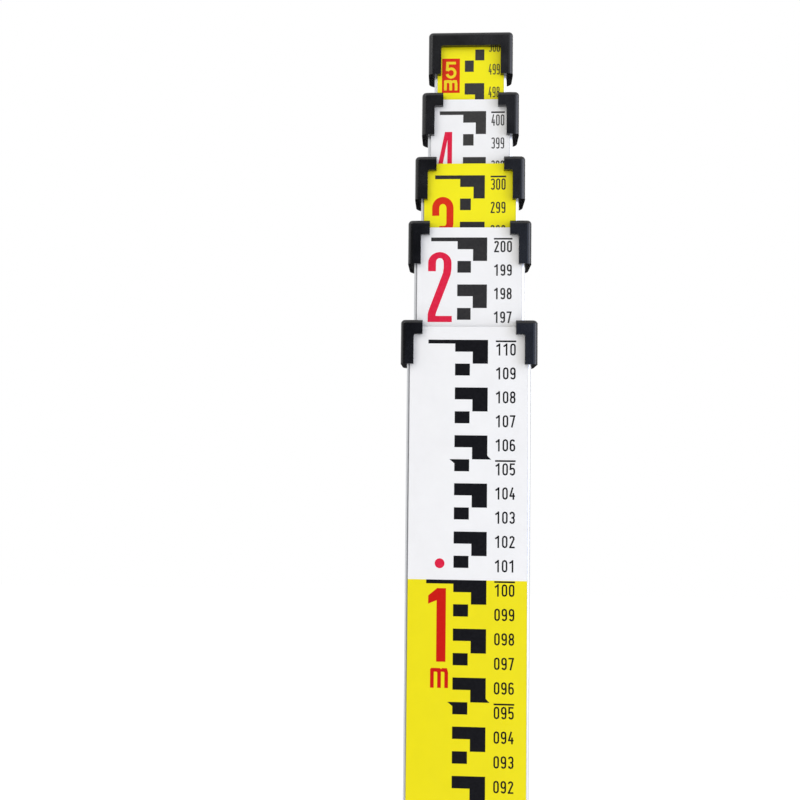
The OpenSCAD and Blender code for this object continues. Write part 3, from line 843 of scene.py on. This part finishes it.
# the red box at the fifth metre: its edges from 5.00 m, and the yellow 5 and m in it
box = (-12.4, -4.7, -24.2, -9.1)
box_five_size, box_five_place = (4.6, 7.4, 1.15, 6), (-10.8, -17.9)
box_m_size, box_m_place = (5.8, 4.5, 1.2), (-11.5, -23.1)
over_box = 0.028 * MM
dot_middle = {1: -11.5, 2: -12.0, 3: -11.0, 4: -10.0, 5: -9.0}
dot_rise, dot_radius, dot_half_pitch = 6.75, 2.05, 2.4
for k in sections:
    red = {1: red_on_yellow, 3: red_on_bright, 5: red_on_bright}.get(k, red_on_white)
    parts = []
    if k < 5:
        numeral_left, below, letter_left, letter_below = numeral_plan[k]
        shapes = moved(tall_numeral(k), numeral_left, -below)
        shapes += moved(letter_m(*m_size), letter_left, -letter_below)
        parts.append(once(shapes, k, front, red, k * metre))
    else:
        parts.append(once([patch(*box)], k, front, red, k * metre))
        in_box = moved(figure(5, *box_five_size), *box_five_place)
        in_box += moved(letter_m(*box_m_size), *box_m_place)
        yellow_marks = once(in_box, k, front, yellow_over_red, k * metre, over_box)
        joined_piece("front_metre_box", [yellow_marks], yellow_over_red, body_of[k])
    dots = k - 1
    middle = dot_middle[k]
    if dots:
        first_dot = -dot_half_pitch if dots > 1 else 0
        spots = [(first_dot, 0), (dot_half_pitch, 0), (-dot_half_pitch, 2 * dot_half_pitch),
                 (dot_half_pitch, 2 * dot_half_pitch)][:dots]
        lowest = math.ceil(front_from[k] / 10) * 10
        tens = (front_to[k] - lowest) // 10 + (1 if k == 5 else 0)
        parts.append(repeated([disc(middle + u, dot_rise + v, dot_radius) for u, v in spots],
                              k, front, red, lowest * cm, decimetre, tens))
    joined_piece(f"front_metres_{k}", parts, red, body_of[k])
    if k == 1:
        one_dot = once([disc(middle, dot_rise, dot_radius)], k, front, red_on_white, metre)
        joined_piece("front_metre_dot", [one_dot], red_on_white, body_of[k])


# Collars and cap: collar_1 to collar_4 and top_cap, black plastic mouldings pressed over the
# top ends of the tubes, and base_shoe, the same at the foot.
# Moulded black ABS: nearly black, satin, with the fine grain of an eroded mould (0.4 mm, drawn
# coarser than the real 0.1 mm) and a few scuffs that catch the light.
moulded_black, tree, shader = new_material("moulded black ABS")
grain_size, scuff_size = 0.4 * MM, 11 * MM
where = add_node(tree, "ShaderNodeTexCoord")
grain = add_node(tree, "ShaderNodeTexNoise", {"Vector": where.outputs["Object"],
                 "Scale": 1 / grain_size, "Detail": 2.0, "Roughness": 0.6})
smear = add_node(tree, "ShaderNodeTexNoise", {"Vector": where.outputs["Object"],
                 "Scale": 1 / scuff_size, "Detail": 5.0, "Roughness": 0.65})
tone = add_node(tree, "ShaderNodeMapRange", {"Value": smear.outputs["Fac"], "From Min": 0.35,
                "From Max": 0.7})
tint = add_node(tree, "ShaderNodeMix", {"Factor": tone.outputs[0],
                colour_a: linear("#09090B"), colour_b: linear("#101013")}, data_type="RGBA")
tree.links.new(tint.outputs[colour_out], shader.inputs["Base Color"])
satin = add_node(tree, "ShaderNodeMapRange", {"Value": smear.outputs["Fac"], "From Min": 0.3,
                 "From Max": 0.7, "To Min": 0.2, "To Max": 0.3})
tree.links.new(satin.outputs[0], shader.inputs["Roughness"])
relief = add_node(tree, "ShaderNodeBump", {"Height": grain.outputs["Fac"], "Strength": 0.2,
                  "Distance": 0.03 * MM})
tree.links.new(relief.outputs[0], shader.inputs["Normal"])
shader.inputs["IOR"].default_value = 1.54
for name in ("collar_1", "collar_2", "collar_3", "collar_4", "top_cap", "base_shoe"):
    dress(name, moulded_black)


# Plugs and foot block: end_plug_2 to _5 close the sliding tubes below, riveted in, and carry
# their lock buttons; foot_block closes the outer tube and takes the screws. All are milled
# from natural nylon, which is milky off-white and waxy.
nylon, tree, shader = new_material("natural nylon")
milky_size = 6.7 * MM
where = add_node(tree, "ShaderNodeTexCoord")
milky = add_node(tree, "ShaderNodeTexNoise", {"Vector": where.outputs["Object"],
                 "Scale": 1 / milky_size, "Detail": 4.0})
tint = add_node(tree, "ShaderNodeMix", {"Factor": milky.outputs["Fac"],
                colour_a: linear("#D9D6CA"), colour_b: linear("#E6E3D8")}, data_type="RGBA")
tree.links.new(tint.outputs[colour_out], shader.inputs["Base Color"])
waxy = add_node(tree, "ShaderNodeMapRange", {"Value": milky.outputs["Fac"], "To Min": 0.4,
                "To Max": 0.55})
tree.links.new(waxy.outputs[0], shader.inputs["Roughness"])
shader.inputs["IOR"].default_value = 1.53
sliding = (2, 3, 4, 5)
for k in sliding:
    dress(f"end_plug_{k}", nylon)
dress("foot_block", nylon)


# Rivets, buttons, foot plate and screws: plug_rivet_2 to _5 and lock_button_2 to _5 are turned,
# base_plate is cut from sheet and held by the two base_screws, and all are plated.
# Zinc-plated steel: bluish grey, brighter than bare steel, slightly cloudy.
plated, tree, shader = new_material("zinc plated steel")
cloudy_size = 4.5 * MM
where = add_node(tree, "ShaderNodeTexCoord")
cloudy = add_node(tree, "ShaderNodeTexNoise", {"Vector": where.outputs["Object"],
                  "Scale": 1 / cloudy_size, "Detail": 5.0, "Roughness": 0.6})
tint = add_node(tree, "ShaderNodeMix", {"Factor": cloudy.outputs["Fac"],
                colour_a: linear("#A9AFB6"), colour_b: linear("#C5C9CE")}, data_type="RGBA")
tree.links.new(tint.outputs[colour_out], shader.inputs["Base Color"])
shader.inputs["Metallic"].default_value = 1.0
dull = add_node(tree, "ShaderNodeMapRange", {"Value": cloudy.outputs["Fac"], "From Min": 0.3,
                "From Max": 0.7, "To Min": 0.25, "To Max": 0.42})
tree.links.new(dull.outputs[0], shader.inputs["Roughness"])
relief = add_node(tree, "ShaderNodeBump", {"Height": cloudy.outputs["Fac"], "Strength": 0.15,
                  "Distance": 0.03 * MM})
tree.links.new(relief.outputs[0], shader.inputs["Normal"])
for k in sliding:
    dress(f"lock_button_{k}", plated)
    dress(f"plug_rivet_{k}", plated)
dress("base_plate", plated)
dress("base_screws", plated)


# Wound springs: wound_spring_2 to _5, coils of plated spring wire behind the buttons. Each
# rides rigidly on its section.
weld_distance = 0.001 * MM
for k in sliding:
    form = bmesh.new()
    form.from_mesh(nodes[f"button_spring_{k}"].data)
    bmesh.ops.remove_doubles(form, verts=form.verts, dist=weld_distance)
    mesh = bpy.data.meshes.new(f"wound_spring_{k}")
    form.to_mesh(mesh)
    form.free()
    mesh.materials.clear()
    mesh.materials.append(plated)
    spring = bpy.data.objects.new(f"wound_spring_{k}", mesh)
    bpy.context.scene.collection.objects.link(spring)
    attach(spring, body_of[k])
    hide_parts(f"button_spring_{k}")
    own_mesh(spring)


# Landing pad: landing_pad, a block of black rubber under the sliding sections, glued on the
# foot block. Rubber: dark grey, dull, with a fine dusty bloom.
rubber, tree, shader = new_material("black rubber")
bloom_size = 2.5 * MM
where = add_node(tree, "ShaderNodeTexCoord")
bloom = add_node(tree, "ShaderNodeTexNoise", {"Vector": where.outputs["Object"],
                 "Scale": 1 / bloom_size, "Detail": 4.0})
tint = add_node(tree, "ShaderNodeMix", {"Factor": bloom.outputs["Fac"],
                colour_a: linear("#1B1B1B"), colour_b: linear("#2C2C2B")}, data_type="RGBA")
tree.links.new(tint.outputs[colour_out], shader.inputs["Base Color"])
shader.inputs["Roughness"].default_value = 0.85
dress("landing_pad", rubber)
